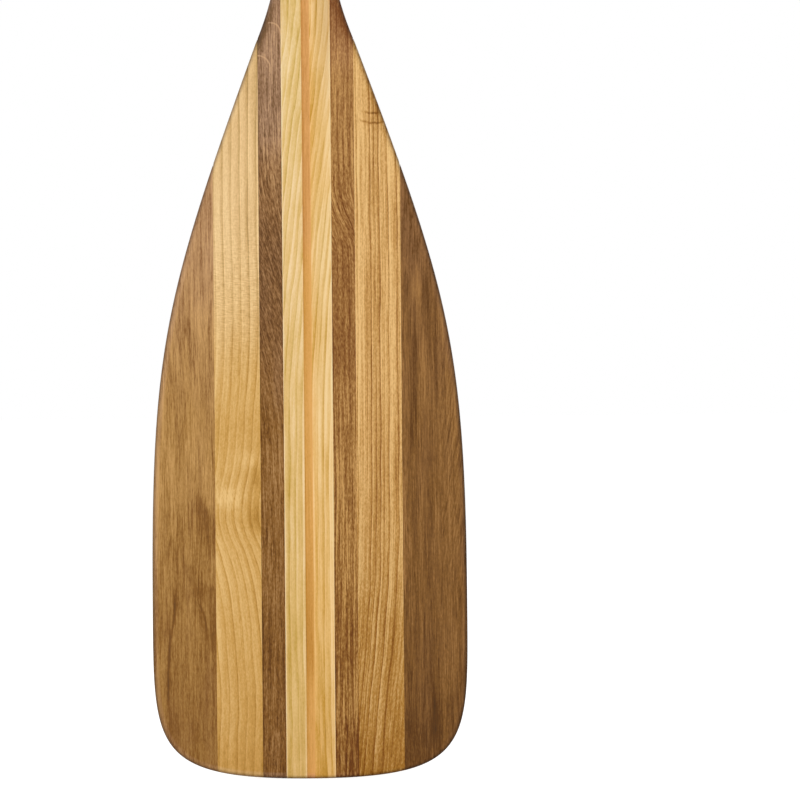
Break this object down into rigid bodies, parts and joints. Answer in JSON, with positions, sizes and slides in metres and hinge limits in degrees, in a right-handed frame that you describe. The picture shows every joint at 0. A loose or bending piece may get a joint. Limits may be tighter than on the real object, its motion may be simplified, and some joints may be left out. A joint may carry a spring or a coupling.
{
  "type": "canoe paddle",
  "caption": "Laminated wooden canoe paddle with a straight oval shaft, a broad blade of light and dark strips with a flat crowned tip, and a carved palm grip.",
  "frame": {"origin": "middle of the blade tip, on the centre plane", "axes": "+Z along the paddle from the blade tip to the grip, +X across the blade, -Y out of the front face"},
  "size_m": [0.2032, 0.031, 1.372],
  "materials": {
    "shaft_core_lower": "satin",
    "shaft_core_upper": "satin",
    "shaft_ply_left": "satin",
    "shaft_ply_right": "satin",
    "blade_inner_left": "satin",
    "blade_inner_right": "satin",
    "blade_mid_left": "satin",
    "blade_mid_right": "satin",
    "blade_outer_left": "satin",
    "blade_outer_right": "satin",
    "grip_wing_left": "satin",
    "grip_wing_right": "satin"
  },
  "bodies": {
    "root": {"shaft_core_lower": "shaft_core_lower", "shaft_core_upper": "shaft_core_upper", "shaft_ply_left": "shaft_ply_left", "shaft_ply_right": "shaft_ply_right", "blade_inner_left": "blade_inner_left", "blade_inner_right": "blade_inner_right", "blade_mid_left": "blade_mid_left", "blade_mid_right": "blade_mid_right", "blade_outer_left": "blade_outer_left", "blade_outer_right": "blade_outer_right", "grip_wing_left": "grip_wing_left", "grip_wing_right": "grip_wing_right"}
  },
  "joints": []
}
